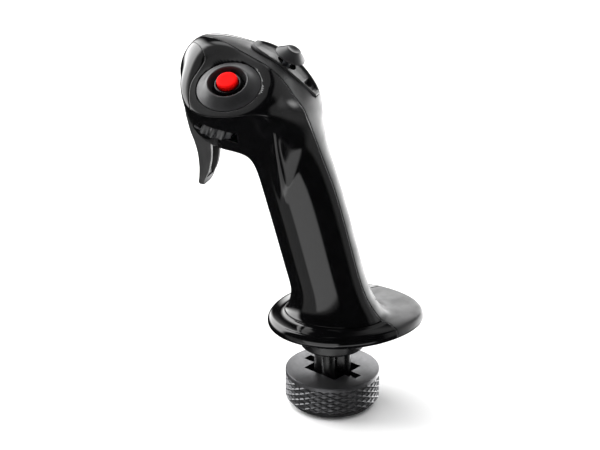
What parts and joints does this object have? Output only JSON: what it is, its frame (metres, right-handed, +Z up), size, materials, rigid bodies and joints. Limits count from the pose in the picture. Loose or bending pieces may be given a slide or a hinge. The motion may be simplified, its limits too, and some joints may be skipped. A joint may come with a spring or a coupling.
{
  "type": "flight stick grip",
  "caption": "Detachable flight-stick grip: leaning handle with hand rest, thumb face with a ringed red button and mini-stick, curved trigger, thumb wheel and knurled screw-on coupling.",
  "frame": {"origin": "centre of the coupling's flat lower face, on the collar's axis", "axes": "+Z up along the collar's axis, +Y forward away from the pilot, +X to the pilot's right"},
  "size_m": [0.0882, 0.12, 0.1872],
  "materials": {
    "gloss": "gloss",
    "satin": "satin",
    "matte": "matte",
    "anodised": "dark anodised",
    "steel": "satin",
    "brass": "plated",
    "zinc": "satin",
    "red": "satin",
    "board": "matte",
    "cable": "matte",
    "module": "matte"
  },
  "bodies": {
    "grip": {"contact_pin_1": "brass", "contact_pin_2": "brass", "contact_pin_3": "brass", "contact_pin_4": "brass", "contact_pin_5": "brass", "connector_body": "matte", "locating_key": "steel", "neck_column": "matte", "base_screw_1": "zinc", "base_screw_2": "zinc", "base_cup": "matte", "core_tube": "zinc", "wiring_harness": "cable", "main_board": "board", "left_shell": "gloss", "right_shell": "gloss", "spine_cover": "satin", "nose_cover": "gloss", "hand_rest": "gloss", "shell_screw_1": "zinc", "shell_screw_2": "zinc", "shell_screw_3": "zinc", "shell_screw_4": "zinc", "button_bezel": "satin", "button_collar": "matte", "button_spring": "steel", "button_switch": "module", "stick_panel": "satin", "stick_module": "module", "trigger_pin": "steel", "trigger_spring": "steel", "trigger_bracket": "zinc", "trigger_switch": "module", "wheel_axle": "steel", "wheel_encoder": "module"},
    "collar_stop": {"collar_washer": "steel"},
    "collar": {"locking_collar": "anodised"},
    "trigger": {"trigger": "matte"},
    "red_button": {"red_button": "red"},
    "stick_gimbal": {"stick_yoke": "zinc"},
    "stick": {"stick_shaft": "zinc", "stick_cap": "matte"},
    "wheel": {"thumb_wheel": "matte"}
  },
  "joints": [
    {"name": "collar_lift", "type": "slide", "parent": "grip", "child": "collar_stop", "axis": [0, 0, 1], "range_m": [0, 0.0125]},
    {"name": "collar_turn", "type": "hinge", "parent": "collar_stop", "child": "collar", "pos_m": [0, 0, 0], "axis": [0, 0, 1], "continuous": true},
    {"name": "trigger_pull", "type": "hinge", "parent": "grip", "child": "trigger", "pos_m": [0, 0.069, 0.1565], "axis": [-1, 0, 0], "range_deg": [0, 7], "stiffness_Nm_per_rad": 0.3, "springref_deg": -6.88},
    {"name": "red_button_press", "type": "slide", "parent": "grip", "child": "red_button", "axis": [0.5033, 0.033, -0.8635], "range_m": [0, 0.0014], "stiffness_N_per_m": 600, "springref_m": -0.001},
    {"name": "stick_fore_aft", "type": "hinge", "parent": "grip", "child": "stick_gimbal", "pos_m": [0, 0.027, 0.172], "axis": [1, 0, 0], "range_deg": [-9, 9], "stiffness_Nm_per_rad": 0.05},
    {"name": "stick_side", "type": "hinge", "parent": "stick_gimbal", "child": "stick", "pos_m": [0, 0.027, 0.172], "axis": [0, 0.8988, 0.4384], "range_deg": [-9, 9], "stiffness_Nm_per_rad": 0.05},
    {"name": "wheel_turn", "type": "hinge", "parent": "grip", "child": "wheel", "pos_m": [-0.0234, 0.0526, 0.1504], "axis": [0, -0.342, 0.9397], "continuous": true}
  ]
}
